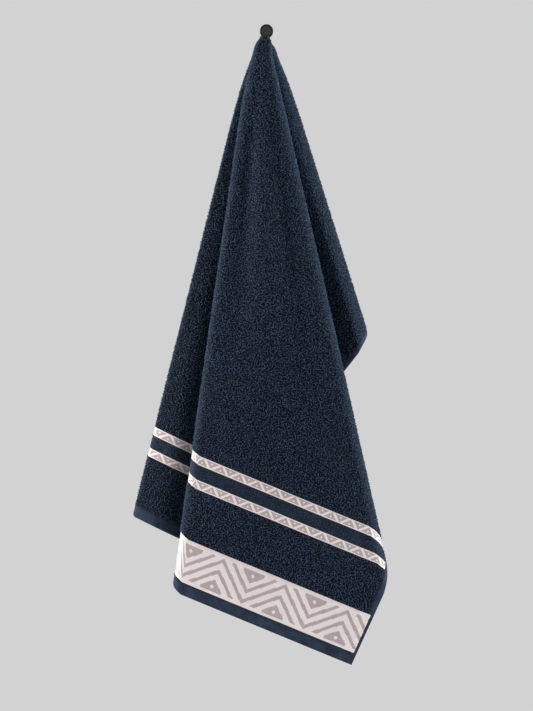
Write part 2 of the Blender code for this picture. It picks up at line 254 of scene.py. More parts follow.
def settleSides(folds, stations):  # the wall of the gathered top, right 1 or left -1, and the depth there
    count = len(folds)
    tips = [0.5 * (folds[index - 1]["depth"] + folds[index]["depth"]) for index in range(count)]
    perFold = [[station for station in stations if station["fold"] == index] for index in range(count)]
    turns = [sum(1 for station in members if station["panel"] is None) for members in perFold]
    for index, members in enumerate(perFold):
        for place, station in enumerate(members):
            gap = index if place >= turns[index] // 2 else (index - 1) % count
            after = (gap + 1) % count
            fromTip = len(perFold[gap]) - turns[gap] // 2
            gone = place - turns[index] // 2 if gap == index else fromTip + place
            share = gone / (fromTip + turns[after] // 2)
            near = gap if share < 0.5 else after
            station["side"] = folds[near]["wall"]
            if folds[gap]["wall"] == folds[after]["wall"]:
                station["topDepth"] = mix(tips[gap], tips[after], share)
            else:
                end = 0.0 if folds[gap]["wall"] < folds[after]["wall"] else hang["bundleDepth"]
                station["topDepth"] = mix(end, tips[near], abs(share - 0.5) * 2.0)
        folds[index]["turnTop"] = (members[0]["topDepth"], members[turns[index]]["topDepth"])


def spreadAt(length):
    return mix(hang["topSpread"], hang["lowSpread"], length / hang["spreadLength"])


def depthToY(depth, length):
    middle = hang["frontY"] + 0.5 * hang["bundleDepth"] * hang["topSpread"]
    return middle + (depth - 0.5 * hang["bundleDepth"]) * spreadAt(length)


def hangLine(fold, length):
    swing = (1.0 - exp(-length / hang["bowRise"])) * max(1.0 - length / hang["bowEnd"], 0.0)
    wall = fold["wall"] * hang["topHalfWidth"] * exp(-length / hang["wallFade"])
    return length * sin(radians(fold["lean"])) + fold["bow"] * swing + wall


def creaseShift(flat, length):
    shift = 0.0
    for row in creaseRows:
        crease = dict(zip(creaseColumns, row))
        along = (length - crease["start"]) / (crease["end"] - crease["start"])
        if 0.0 < along < 1.0:
            away = (flat - crease["flat"] - crease["drift"] * along) / crease["half"]
            fade = sin(pi * along) ** 2
            shift += 0.001 * crease["forward"] * exp(-away * away) * fade
    return shift


def flatness(width, opened):  # how far a panel has settled into its own layer
    return smoothStep(width * opened / (hang["layerPitch"] * hang["topSpread"]) - hang["settleFrom"])


def hungPoint(folds, station, length):
    index = station["fold"]
    fold = folds[index]
    following = folds[(index + 1) % len(folds)]
    opened = smoothStep(length / hang["gatherLength"])
    tip = hangLine(fold, length)
    nextTip = hangLine(following, length)
    beforeWidth = abs(hangLine(folds[index - 1], length) - tip)
    width = abs(nextTip - tip)
    spread = spreadAt(length)
    before, after = station["depths"]
    largest = hang["turnShare"] * min(width, beforeWidth)
    radius = min(0.5 * abs(after - before) * spread, fold["round"], largest)
    inward = 1.0 if nextTip > tip else -1.0
    settled = flatness(width, opened)
    share = station["panel"]
    bulge, taken = 0.0, 0.0
    if share is None:
        half = station["half"]
        angle = 0.5 * pi * half
        across = tip + inward * radius * (1.0 - cos(angle))
        settledBefore = flatness(beforeWidth, opened)
        startDepth = mix(fold["turnTop"][0], before, settledBefore)
        endDepth = mix(fold["turnTop"][1], after, settled)
        bent = mix(half, sin(angle), min(settled, settledBefore))
        depth = mix(startDepth, endDepth, 0.5 + 0.5 * bent)
        lean = fold["lean"]
    else:
        nextDepth = 0.5 * abs(following["depth"] - after) * spread
        nextRadius = min(nextDepth, following["round"], hang["turnShare"] * width)
        across = mix(tip + inward * radius, nextTip - inward * nextRadius, share)
        depth = mix(station["topDepth"], after, settled)
        lean = mix(fold["lean"], following["lean"], share)
        if index == 0:
            rise = smoothStep(length / hang["bulgeRise"])
            rise *= 1.0 - hang["bulgeLoss"] * length / hang["spreadLength"]
            bulge = hang["frontBulge"] * 4.0 * share * (1.0 - share) * rise
            taken = hang["frontSlack"] * 4.0 * share * (1.0 - share)
    bend = sin(2.0 * pi * length / hang["swayLength"] + hang["swaySlant"] * across)
    y = depthToY(depth, length) - bulge + hang["sway"] * bend * smoothStep(length / hang["swayRise"])
    y -= creaseShift(station["flat"], length)
    topX, topY = gatheredPlace(station)
    dome = 1.0 - hang["domeShare"] * (1.0 - sin(0.5 * pi * min(length / hang["domeLength"], 1.0)))
    dome += hang["swell"] * exp(-((length - hang["swellAt"]) / hang["swellHalf"]) ** 2)
    x = hang["wireX"] + (mix(topX, hang["wireX"] + across, opened) - hang["wireX"]) * dome
    return Vector((x, y, wireHeight(topY) - length * (1.0 - taken) * cos(radians(lean))))


def gatheredPlace(station):
    depth = station["topDepth"]
    end = min(depth, hang["bundleDepth"] - depth) * hang["topSpread"]
    halfWidth = hang["topHalfWidth"]
    narrowing = sqrt(max(1.0 - max(1.0 - end / halfWidth, 0.0) ** 2, 0.0))
    return hang["wireX"] + station["side"] * halfWidth * narrowing, depthToY(depth, 0.0)


def rowLengths(hanging, foot):
    top = sheetMesh["topLength"]
    lengths = [top * (row / sheetMesh["topRows"]) ** sheetMesh["topCurve"]
               for row in range(sheetMesh["topRows"])]
    hemStart = hanging * (1.0 - sheetMesh["hemRows"][0] / foot)
    for row in range(sheetMesh["bodyRows"]):
        share = row / sheetMesh["bodyRows"]
        share = mix(share, 1.0 - (1.0 - share) ** 2, sheetMesh["lowerCrowd"])
        lengths.append(mix(top, hemStart, share))
    lengths += [hanging * (1.0 - fromEdge / foot) for fromEdge in sheetMesh["hemRows"]]
    return lengths


def flatPlace(flat, radius):  # across from the left side, and height above the banded end
    across = towelCut["pointAcross"] + radius * sin(radians(flat))
    height = towelCut["pointHeight"] - radius * cos(radians(flat))
    return across, height


def isWoven(across, height):  # 1 on the borders, where there is no pile
    fromFar = towelCut["length"] - height
    spans = [(height, borders["bandLow"], borders["bandHigh"])]
    spans += [(height, borders["nearStripes"][0][0], borders["nearStripes"][1][1])]
    spans += [(fromFar, low, high) for low, high in borders["farStripes"]]
    return any(low <= place <= high for place, low, high in spans)


def clothThickness(across, height, length):
    toEnd = min(height, towelCut["length"] - height)
    toSide = min(across, towelCut["width"] - across)
    edge = min(toEnd, toSide)
    thick = sheetMesh["wovenThick"] if isWoven(across, height) else sheetMesh["terryThick"]
    if toEnd < towelCut["endHem"] or toSide < towelCut["sideHem"]:
        thick = sheetMesh["hemThick"]
    thick = mix(sheetMesh["topThick"], thick, smoothStep(length / sheetMesh["thickening"]))
    return mix(sheetMesh["rimThick"], thick, smoothStep(edge / sheetMesh["rimWidth"]))


def hangCloth():
    folds = readFolds()
    stations = walkRound(folds)
    settleSides(folds, stations)
    roof = 0.5 * pi * (hang["wireRadius"] + hang["seatGap"] + 0.5 * sheetMesh["topThick"])
    middle, places, thick = [], [], []
    for station in stations:
        ray, foot = nearestEdge(station["flat"])
        column, columnPlaces, columnThick = [], [], []
        for length in rowLengths(ray * station["reach"] - roof, foot):
            point = hungPoint(folds, station, length)
            across, height = flatPlace(station["flat"], (length + roof) / station["reach"])
            spot = Vector((across, height, sheetMesh["unevenSlice"])) / sheetMesh["unevenSize"]
            rise = smoothStep(length / sheetMesh["unevenRise"])
            point.y += sheetMesh["uneven"] * noise.noise(spot) * rise
            column.append(point[:])
            columnPlaces.append((across, height))
            columnThick.append(clothThickness(across, height, length))
        middle.append(column)
        places.append(columnPlaces)
        thick.append(columnThick)
    return stations, np.array(middle), np.array(places), np.array(thick)


def clothNormals(middle):
    along = np.roll(middle, -1, axis=0) - np.roll(middle, 1, axis=0)
    down = np.empty_like(middle)
    down[:, 1:-1] = middle[:, 2:] - middle[:, :-2]
    down[:, 0] = (0.0, 0.0, -1.0)
    down[:, -1] = middle[:, -1] - middle[:, -2]
    along[:, 0, 2] = 0.0
    return unit(np.cross(down, along))


def addRoof(shell, radius):  # carries the cloth up over the wire
    highest = sin(radians(sheetMesh["roofAngles"][-1]))
    steep = np.array([hypot(1.0, wireSlope(y)) for y in shell[:, 0, 1]])
    rows = []
    for angle in reversed(sheetMesh["roofAngles"]):
        turn = radians(angle)
        row = shell[:, 0].copy()
        row[:, 0] = hang["wireX"] + (row[:, 0] - hang["wireX"]) * cos(turn)
        row[:, 2] += radius * steep * sin(turn) / highest
        rows.append(row)
    return np.concatenate([np.stack(rows, axis=1), shell], axis=1)


def roofPlaces(places):  # where the same rows lie on the flat cloth
    point = np.array([towelCut["pointAcross"], towelCut["pointHeight"]])
    rows = [point + (places[:, 0] - point) * (1.0 - angle / 90.0)
            for angle in reversed(sheetMesh["roofAngles"])]
    return np.concatenate([np.stack(rows, axis=1), places], axis=1)


def lidFaces(stations, gapStart, gapEnd):  # triangles between the two walls, from front to back
    columns = len(stations)
    depths = [station["topDepth"] for station in stations]
    front = depths.index(min(depths))
    right = list(range(front, gapStart + 1))
    left = [column % columns for column in range(front, gapEnd - columns - 1, -1)]
    faces = []
    onRight, onLeft = 1, 0
    while onRight < len(right) - 1 or onLeft < len(left) - 1:
        corners = [left[onLeft], right[onRight]]
        rightIsNext = onLeft == len(left) - 1
        if onRight < len(right) - 1 and onLeft < len(left) - 1:
            rightIsNext = depths[right[onRight + 1]] <= depths[left[onLeft + 1]]
        if rightIsNext:
            onRight += 1
            corners.append(right[onRight])
        else:
            onLeft += 1
            corners.insert(0, left[onLeft])
        faces.append(tuple((column, 0) for column in corners))
    return faces


def clothFaces(stations, rows):
    columns = len(stations)
    limit = hang["bundleDepth"] - hang["wireGap"]
    rounded = [place for place, station in enumerate(stations) if station["topDepth"] > limit]
    gapStart, gapEnd = rounded[0] - 1, rounded[-1] + 1
    openRows = len(sheetMesh["roofAngles"]) + sheetMesh["gapRows"]
    faces = []
    for column in range(columns):
        after = (column + 1) % columns
        first = openRows if gapStart <= column < gapEnd else 0
        faces += [((column, row), (column, row + 1), (after, row + 1), (after, row))
                  for row in range(first, rows - 1)]
    return faces + lidFaces(stations, gapStart, gapEnd)


def openEdges(faces):
    edges = {(start, end) for face in faces for start, end in zip(face, face[1:] + face[:1])}
    return sorted(edge for edge in edges if (edge[1], edge[0]) not in edges)


def buildTowel():
    stations, middle, places, thick = hangCloth()
    normals = clothNormals(middle)
    offset = 0.5 * thick[:, :, None] * normals
    inside = hang["wireRadius"] + hang["seatGap"]
    outer = addRoof(middle + offset, inside + sheetMesh["topThick"])
    inner = addRoof(middle - offset, inside)
    flats = roofPlaces(places)
    faces = clothFaces(stations, outer.shape[1])
    corners = sorted({corner for face in faces for corner in face})
    maker = bmesh.new()
    out = {corner: maker.verts.new(outer[corner]) for corner in corners}
    into = {corner: maker.verts.new(inner[corner]) for corner in corners}
    layer = maker.loops.layers.uv.new("flat")

    def addFace(verts, spots):
        face = maker.faces.new(verts)
        face.smooth = True
        for loop, spot in zip(face.loops, spots):
            loop[layer].uv = flats[spot]

    for face in faces:
        addFace([out[corner] for corner in face], face)
        addFace([into[corner] for corner in reversed(face)], face[::-1])
    for start, end in openEdges(faces):
        addFace((out[end], out[start], into[start], into[end]), (end, start, start, end))
    bmesh.ops.recalc_face_normals(maker, faces=maker.faces)
    mesh = bpy.data.meshes.new("towelCloth")
    maker.to_mesh(mesh)
    maker.free()
    towel = addObject("towel_cloth", mesh)
    print("towel cloth:", len(mesh.polygons), "faces,", len(stations), "columns")
    return towel, stations, middle, places, thick, normals


# shader sums: Signal wraps a node's output, so that formulas can be written as sums

class Signal:
    def __init__(self, tree, socket=None):
        self.tree = tree
        self.socket = socket

    def make(self, kind, settings, values, out=0):
        node = self.tree.nodes.new(kind)
        for name, setting in settings.items():
            setattr(node, name, setting)
        for name, value in values.items():
            if isinstance(value, Signal):
                self.tree.links.new(value.socket, node.inputs[name])
            else:
                node.inputs[name].default_value = value
        return Signal(self.tree, node.outputs[out])

    def sum(self, operation, first, second=0.0):
        return self.make("ShaderNodeMath", {"operation": operation}, {0: first, 1: second})

    def wrap(self, period):  # distance to the nearest whole period
        return abs(self.sum("PINGPONG", self, 0.5 * period))

    def colour(self, low, high):  # low where the signal is 0, high where it is 1
        return self.make("ShaderNodeMix", {"data_type": "RGBA"}, {0: self, 6: low, 7: high}, out=2)

    def axis(self, number):
        return self.make("ShaderNodeSeparateXYZ", {}, {0: self}, out=number)

    def noise(self, scale, detail=2.0):
        return self.make("ShaderNodeTexNoise", {}, {"Vector": self, "Scale": scale, "Detail": detail})


def addOperator(name, operation, swapped=False):
    def apply(signal, other=0.0):
        first, second = (other, signal) if swapped else (signal, other)
        return signal.sum(operation, first, second)

    setattr(Signal, name, apply)


signalOperators = {
    "__add__": "ADD", "__sub__": "SUBTRACT", "__mul__": "MULTIPLY", "__truediv__": "DIVIDE",
    "__lt__": "LESS_THAN", "__gt__": "GREATER_THAN", "__and__": "MULTIPLY", "__or__": "MAXIMUM",
    "__abs__": "ABSOLUTE", "least": "MINIMUM",
}
for method, operation in signalOperators.items():
    addOperator(method, operation)
addOperator("__radd__", "ADD", swapped=True)
addOperator("__rsub__", "SUBTRACT", swapped=True)


def newMaterial(name):
    material = bpy.data.materials.new(name)
    material.use_nodes = True
    return material, Signal(material.node_tree), material.node_tree.nodes["Principled BSDF"]


def objectPlace(start):
    return start.make("ShaderNodeTexCoord", {}, {}, out="Object")


def feed(shader, name, signal):
    signal.tree.links.new(signal.socket, shader.inputs[name])


def addBump(shader, strength, distance, height):
    values = {"Strength": strength, "Distance": distance, "Height": height}
    feed(shader, "Normal", height.make("ShaderNodeBump", {}, values))


def setShader(shader, settings):
    for name, value in settings.items():
        shader.inputs[name].default_value = value


# woven borders, charted by formula on the flat cloth

cottonColours = {
    # terry is the pile's ground, partly its own navy and partly kept dark as painted shade under the loops;
    # terryGapShade is the painted shade in the gaps of the pile
    "terry": linear(22, 31, 43),
    "terryGapShade": linear(8, 12, 18),
    # terryTip is the colour of the loop tops, partly the yarn's own navy and partly painted highlight
    "terryTip": linear(78, 98, 123),
    "plainNavy": linear(54, 68, 90),
    "navyDeep": linear(25, 33, 46),
    "ground": linear(238, 227, 226),
    "groundDeep": linear(224, 213, 212),
    "figure": linear(187, 172, 171),
    "figureDeep": linear(171, 157, 157),
    "thread": linear(40, 51, 70),
    "sheen": linear(120, 165, 225),
}

bandChart = {   # heights above the banded end and half widths, in metres
    "slope": 0.94, "lineHalf": 0.00205,
    "peakHigh": 0.0414,
    "underApex": 0.0313, "underFoot": 0.0132, "underHalf": 0.0208,
    "overApex": 0.0245, "overTop": 0.0432, "overHalf": 0.0207,
    "solidBase": 0.0131, "solidApex": 0.0237, "solidTop": 0.0435, "solidLow": 0.0317, "solidHalf": 0.0097,
    "eyeLow": 0.0168, "eyeHigh": 0.0386, "eyeHalf": 0.0018,
}

stripeChart = {"margin": 0.0009, "triangleHalf": 0.0057, "eyeHalf": 0.0010, "eyeLow": 0.30, "eyeHigh": 0.70}

cottonWeave = {     # pitches and widths in metres, noise scales for each metre
    "warp": 0.00075, "weft": 0.00062, "twill": 0.0021, "bandFromSide": 0.0026,
    "loopScale": 430.0, "fluffScale": 260.0, "crushScale": 85.0, "driftScale": 22.0,
    "foldHalf": 0.0008, "foldSteepness": 350.0,
}


def between(value, low, high):
    return (value > low) & (value < high)


def bandFigures(fromRight, height):
    chart = bandChart
    fromPeak = (fromRight - borders["bandPeakFromRight"]).wrap(borders["bandPeriod"])
    fromLow = 0.5 * borders["bandPeriod"] - fromPeak
    fall, rise = fromPeak * chart["slope"], fromLow * chart["slope"]

    def onLine(middle):
        return abs(height - middle) < chart["lineHalf"]

    def inSolid(away, eye):
        return (away < chart["solidHalf"]) & (away + abs(height - eye) > chart["eyeHalf"])

    zigzag = onLine(chart["peakHigh"] - fall)
    under = onLine(chart["underApex"] - fall) & (height > chart["underFoot"])
    under = under & (fromPeak < chart["underHalf"])
    over = onLine(chart["overApex"] + rise) & (height < chart["overTop"])
    over = over & (fromLow < chart["overHalf"])
    solidUp = (height > chart["solidBase"]) & (height + fall < chart["solidApex"])
    solidDown = (height < chart["solidTop"]) & (height - rise > chart["solidLow"])
    solids = solidUp & inSolid(fromPeak, chart["eyeLow"]) | solidDown & inSolid(fromLow, chart["eyeHigh"])
    return zigzag | under | over | solids


def stripeFigures(across, height, low, high):
    chart = stripeChart
    base = low + chart["margin"]
    tall = high - low - 2.0 * chart["margin"]
    fromUp = across.wrap(borders["stripePeriod"])
    fromDown = 0.5 * borders["stripePeriod"] - fromUp
    level = (height - base) / tall
    reach = chart["triangleHalf"]
    up = fromUp + level * reach < reach
    up = up & (fromUp + abs(level - chart["eyeLow"]) * reach > chart["eyeHalf"])
    down = fromDown - level * reach < 0.0
    down = down & (fromDown + abs(level - chart["eyeHigh"]) * reach > chart["eyeHalf"])
    return between(level, 0.0, 1.0) & (up | down)


def clothMaterial():
    material, start, shader = newMaterial("towel_cotton")
    flat = start.make("ShaderNodeUVMap", {"uv_map": "flat"}, {})
    across, height = flat.axis(0), flat.axis(1)
    fromRight = towelCut["width"] - across
    fromFar = towelCut["length"] - height
    toSide = across.least(fromRight)
    toEnd = height.least(fromFar)

    band = between(height, borders["bandLow"], borders["bandHigh"])
    pick = borders["pick"]
    pickRight = start.sum("SNAP", fromRight, pick) + 0.5 * pick
    pickHigh = start.sum("SNAP", height, pick) + 0.5 * pick
    figures = band & bandFigures(pickRight, pickHigh)
    pale = band
    ends = ((height, borders["nearStripes"]), (fromFar, borders["farStripes"]))
    for fromEnd, stripes in ends:
        for low, high in stripes:
            pale = pale | between(fromEnd, low, high)
            figures = figures | stripeFigures(fromRight, fromEnd, low, high)
    nearPile, farPile = (between(fromEnd, stripes[0][1], stripes[1][0]) for fromEnd, stripes in ends)
    shortPile = nearPile | farPile
    sideHem = (toSide < towelCut["sideHem"]) & (1.0 - (band & (toSide > cottonWeave["bandFromSide"])))
    hem = sideHem | (toEnd < towelCut["endHem"])
    pale = pale & (1.0 - hem)
    figures = figures & (1.0 - hem)
    pile = (1.0 - (pale | hem)) & (1.0 - shortPile * 0.4)

    place = objectPlace(start)
    loops = start.make("ShaderNodeTexVoronoi", {"feature": "SMOOTH_F1"}, {
        "Vector": place, "Scale": cottonWeave["loopScale"], "Randomness": 1.0, "Smoothness": 0.4})
    fluff = place.noise(cottonWeave["fluffScale"], detail=3.0)
    drift = place.noise(cottonWeave["driftScale"])
    crush = place.noise(cottonWeave["crushScale"])
    warp, weft, twill = (
        start.sum("SINE", run * (2.0 * pi / cottonWeave[name]))
        for name, run in (("warp", across), ("weft", height), ("twill", across + height)))

    # the ground goes darker between the voronoi loop cells: painted shade in the gaps of the pile
    tone = (0.92 - loops) * 0.9 + (fluff - 0.5) * 0.5
    terry = (tone + drift * 0.2).colour(cottonColours["terryGapShade"], cottonColours["terry"])
    worn = fluff * 0.5 + crush * 1.3 + warp * 0.05 - 0.42
    navy = worn.colour(cottonColours["navyDeep"], cottonColours["plainNavy"])
    base = hem.colour((shortPile * 0.5).colour(terry, navy), navy)
    yarns = fluff * 0.9 + twill * 0.28 + 0.05
    base = pale.colour(base, yarns.colour(cottonColours["groundDeep"], cottonColours["ground"]))
    base = figures.colour(base, yarns.colour(cottonColours["figureDeep"], cottonColours["figure"]))
    feed(shader, "Base Color", base)

    pileHeight = pile * ((1.0 - loops) * 0.9 + fluff * 0.5)
    weave = (1.0 - pile) * (warp * weft) * 0.05
    rib = (pale - figures) * 0.10
    toFold = abs(toSide - towelCut["sideHem"]).least(abs(toEnd - towelCut["endHem"]))
    fold = toFold.least(cottonWeave["foldHalf"]) * cottonWeave["foldSteepness"]
    addBump(shader, 0.8, 0.001, pileHeight + weave + rib + fold)
    setShader(shader, {
        "Roughness": 0.92, "Sheen Weight": 0.06, "Sheen Roughness": 0.5, "Specular IOR Level": 0.12})
    return material


# terry loops, real ones wherever the cloth shows

pileSpec = {
    "apart": 0.00150, "tries": 6.0, "packing": 0.7, "width": 0.0028, "tall": 0.00105, "yarn": 0.00044,
    "sink": 0.0004, "lean": 0.55, "droop": 0.20, "shortPile": 0.75, "seed": 11, "perPiece": 15500,
    "tipLength": 0.045, "tipTall": 0.55,    # shorter where the cloth is drawn together
    "sizes": (0.75, 1.2), "hemGap": 0.0006, "borderGap": 0.0008, "sameFace": 0.3,
    "lookLift": 0.0012, "lookFacing": 0.12, "lookReach": 1.0, "driftScale": 18.0, "twistScale": 2600.0,
}

# azimuth and elevation in degrees: loops grow where one of these looks meets the cloth
lookFrom = ((0, 0), (40, 0), (80, 5), (120, 0), (160, 5), (200, 5), (240, 0), (280, 5), (320, 0), (45, 28))


def clothTable(stations, middle, places, thick, normals):  # the hung cloth, read by its flat places
    wanted = np.linspace(0.0, 1.0, sheetMesh["tableRows"])
    angles, points, faces, halves = [], [], [], []
    for column, station in enumerate(stations):
        edge = nearestEdge(station["flat"])[0]
        dx = places[column, :, 0] - towelCut["pointAcross"]
        dy = places[column, :, 1] - towelCut["pointHeight"]
        shares = np.hypot(dx, dy) / edge
        points.append([np.interp(wanted, shares, middle[column, :, axis]) for axis in range(3)])
        faces.append([np.interp(wanted, shares, normals[column, :, axis]) for axis in range(3)])
        halves.append(np.interp(wanted, shares, 0.5 * thick[column]))
        angles.append(station["flat"])
    return {
        "angles": np.array(angles + [angles[0] + 360.0]),
        "points": np.array(points + points[:1]).transpose(0, 2, 1),
        "normals": np.array(faces + faces[:1]).transpose(0, 2, 1),
        "halves": np.array(halves + halves[:1]),
    }


def placeOnCloth(table, across, height):
    dx = across - towelCut["pointAcross"]
    dy = towelCut["pointHeight"] - height
    radius = np.hypot(dx, dy)
    flat = np.degrees(np.arctan2(dx, dy))
    flat = (flat - table["angles"][0]) % 360.0 + table["angles"][0]
    edge = np.full(len(flat), 1e9)
    for foot, distance in edgeFeet():
        facing = np.cos(np.radians(flat - foot))
        reach = distance / np.maximum(facing, leastFacing)
        edge = np.where(facing > leastFacing, np.minimum(edge, reach), edge)
    last = table["points"].shape[1] - 1
    row = np.clip(radius / edge, 0.0, 1.0) * last
    rowLow = np.minimum(row.astype(int), last - 1)
    rowShare = (row - rowLow)[:, None]
    column = np.clip(np.searchsorted(table["angles"], flat, side="right") - 1, 0, len(table["angles"]) - 2)
    span = table["angles"][column + 1] - table["angles"][column]
    share = ((flat - table["angles"][column]) / np.maximum(span, 1e-9))[:, None]

    def read(name):
        values = table[name]
        if values.ndim == 2:
            values = values[:, :, None]
        left = values[column, rowLow] * (1.0 - rowShare) + values[column, rowLow + 1] * rowShare
        right = values[column + 1, rowLow] * (1.0 - rowShare) + values[column + 1, rowLow + 1] * rowShare
        return left * (1.0 - share) + right * share

    return read("points"), unit(read("normals")), read("halves")[:, 0]


def setMode(mode):
    bpy.ops.object.mode_set(mode=mode)


def deselectAll():
    if bpy.context.mode != "OBJECT":
        setMode("OBJECT")
    bpy.ops.object.select_all(action="DESELECT")


def takeShape(thing):  # its points and faces, without the object
    points = np.array([vert.co[:] for vert in thing.data.vertices])
    faces = [tuple(face.vertices) for face in thing.data.polygons]
    bpy.data.objects.remove(thing, do_unlink=True)
    return points, faces


def modelLoop():  # one yarn loop: a three-sided ring spun half round
    deselectAll()
    half = 0.5 * pileSpec["width"]
    bpy.ops.mesh.primitive_circle_add(
        vertices=3, radius=pileSpec["yarn"], fill_type="NOTHING", location=(half, 0.0, 0.0))
    loop = bpy.context.object
    setMode("EDIT")
    bpy.ops.mesh.select_all(action="SELECT")
    bpy.ops.mesh.spin(steps=2, angle=pi, center=(0.0, 0.0, 0.0), axis=(0.0, 1.0, 0.0))
    bpy.ops.mesh.select_all(action="SELECT")
    bpy.ops.mesh.normals_make_consistent(inside=False)
    setMode("OBJECT")
    bpy.ops.object.transform_apply(location=True, rotation=True, scale=True)
    points, faces = takeShape(loop)
    points[:, 2] *= pileSpec["tall"] / half
    return points, faces


def modelStitch():  # one stitch: a short thread, drawn in at both ends
    deselectAll()
    bpy.ops.mesh.primitive_cylinder_add(
        vertices=6, radius=stitchSpec["thread"], depth=stitchSpec["straight"] * stitchSpec["long"],
        end_fill_type="NGON", location=(0.0, 0.0, 0.0), rotation=(0.0, 0.5 * pi, 0.0))
    stitch = bpy.context.object
    bpy.ops.object.transform_apply(location=True, rotation=True, scale=True)
    for end in (-1.0, 1.0):
        setMode("EDIT")
        bpy.ops.mesh.select_all(action="DESELECT")
        setMode("OBJECT")
        for face in stitch.data.polygons:
            face.select = face.normal.x * end > 0.9
        setMode("EDIT")
        bpy.ops.mesh.select_mode(type="FACE")
        outward = end * stitchSpec["endLong"] * stitchSpec["long"]
        shift = (outward, 0.0, -stitchSpec["endDrop"] * stitchSpec["thread"])
        bpy.ops.mesh.extrude_region_move(TRANSFORM_OT_translate={"value": shift})
        bpy.ops.transform.resize(value=(1.0, stitchSpec["endThin"], stitchSpec["endThin"]))
        setMode("OBJECT")
    return takeShape(stitch)


def joinCopies(name, points, faces, centres, axes, sizes, tones):
    count, size = len(centres), len(points)
    scaled = points[None, :, :] * sizes[:, None, :]
    placed = centres[:, None, :] + np.einsum("nij,nkj->nki", axes, scaled)
    corners = [corner for face in faces for corner in face]
    starts = np.cumsum([0] + [len(face) for face in faces[:-1]])
    shift = np.arange(count)[:, None]
    mesh = bpy.data.meshes.new(name)
    mesh.vertices.add(count * size)
    mesh.vertices.foreach_set("co", placed.astype(np.float32).ravel())
    mesh.loops.add(count * len(corners))
    mesh.loops.foreach_set("vertex_index", (np.array(corners)[None, :] + shift * size).ravel())
    mesh.polygons.add(count * len(faces))
    mesh.polygons.foreach_set("loop_start", (starts[None, :] + shift * len(corners)).ravel())
    mesh.polygons.foreach_set("use_smooth", np.ones(count * len(faces), dtype=bool))
    mesh.update(calc_edges=True)
    tone = mesh.attributes.new("yarnTone", "FLOAT", "POINT")
    tone.data.foreach_set("value", np.repeat(tones, size).astype(np.float32))
    # each loop point's height, used only to paint shade: loop feet darker, tops lighter
    high = points[:, 2] / max(points[:, 2].max(), 1e-9)
    rise = mesh.attributes.new("yarnShadeRise", "FLOAT", "POINT")
    rise.data.foreach_set("value", np.tile(high, count).astype(np.float32))
    mesh.validate()
    return addObject(name, mesh)


def towards(azimuth, elevation):
    turn, rise = radians(azimuth), radians(elevation)
    return Vector((sin(turn) * cos(rise), -cos(turn) * cos(rise), sin(rise)))


def canBeSeen(tree, points, normals):
    looks = [towards(*look) for look in lookFrom]
    least, reach = pileSpec["lookFacing"], pileSpec["lookReach"]
    seen = np.zeros(len(points), dtype=bool)
    for index, (point, normal) in enumerate(zip(points, normals)):
        normal = Vector(normal)
        start = Vector(point) + normal * pileSpec["lookLift"]
        for look in looks:
            if normal.dot(look) > least and tree.ray_cast(start, look, reach)[0] is None:
                seen[index] = True
                break
    return seen


def clothAxes(normals, chance, lean):
    aside = chance.normal(size=normals.shape)
    along = unit(squareTo(normals, aside))
    up = normals + lean * chance.uniform(-1.0, 1.0, size=(len(normals), 1)) * np.cross(normals, along)
    up[:, 2] -= pileSpec["droop"]
    up = unit(squareTo(along, up))
    return np.stack([along, np.cross(up, along), up], axis=2)


def readRows(items, name, width, kind):
    values = np.empty(len(items) * width, dtype=kind)
    items.foreach_get(name, values)
    return values.reshape(-1, width)


def scatterOnCloth(mesh, chance):  # random places on the cloth's faces, with their normals and flat places
    mesh.calc_loop_triangles()
    triangles = mesh.loop_triangles
    corners = readRows(mesh.vertices, "co", 3, np.float32)[readRows(triangles, "vertices", 3, np.int32)]
    flats = readRows(mesh.uv_layers["flat"].data, "uv", 2, np.float32)
    flats = flats[readRows(triangles, "loops", 3, np.int32)]
    normals = np.cross(corners[:, 1] - corners[:, 0], corners[:, 2] - corners[:, 0])
    areas = 0.5 * np.linalg.norm(normals, axis=1)
    normals /= np.maximum(2.0 * areas, 1e-12)[:, None]
    wanted = int(pileSpec["tries"] * areas.sum() / pileSpec["apart"] ** 2 * pileSpec["packing"])
    picked = chance.choice(len(triangles), size=wanted, p=areas / areas.sum())
    first, second = chance.random(wanted), chance.random(wanted)
    over = first + second > 1.0
    first[over], second[over] = 1.0 - first[over], 1.0 - second[over]
    shares = np.stack([1.0 - first - second, first, second], axis=1)[:, :, None]
    points = np.sum(corners[picked] * shares, axis=1)
    return points, normals[picked], np.sum(flats[picked] * shares, axis=1)


def isPile(across, height):  # inside the hems and clear of the woven borders
    fromFar = towelCut["length"] - height
    gap = pileSpec["borderGap"]
    keep = np.minimum(across, towelCut["width"] - across) > towelCut["sideHem"] + pileSpec["hemGap"]
    keep &= np.minimum(height, fromFar) > towelCut["endHem"] + pileSpec["hemGap"]
    keep &= height > borders["bandHigh"] + gap
    for fromEnd, stripes in ((height, borders["nearStripes"]), (fromFar, borders["farStripes"])):
        for low, high in stripes:
            keep &= (fromEnd < low - gap) | (fromEnd > high + gap)
    return keep


def thinOut(points, normals):  # drops places that are too near one kept before, on the same face of the cloth
    tree = KDTree(len(points))
    for index, point in enumerate(points):
        tree.insert(point, index)
    tree.balance()
    kept = np.ones(len(points), dtype=bool)
    for index, point in enumerate(points):
        if kept[index]:
            for _, other, _ in tree.find_range(point, pileSpec["apart"]):
                if other > index and normals[index].dot(normals[other]) > pileSpec["sameFace"]:
                    kept[other] = False
    return kept


def keepRows(keep, *tables):
    return [table[keep] for table in tables]


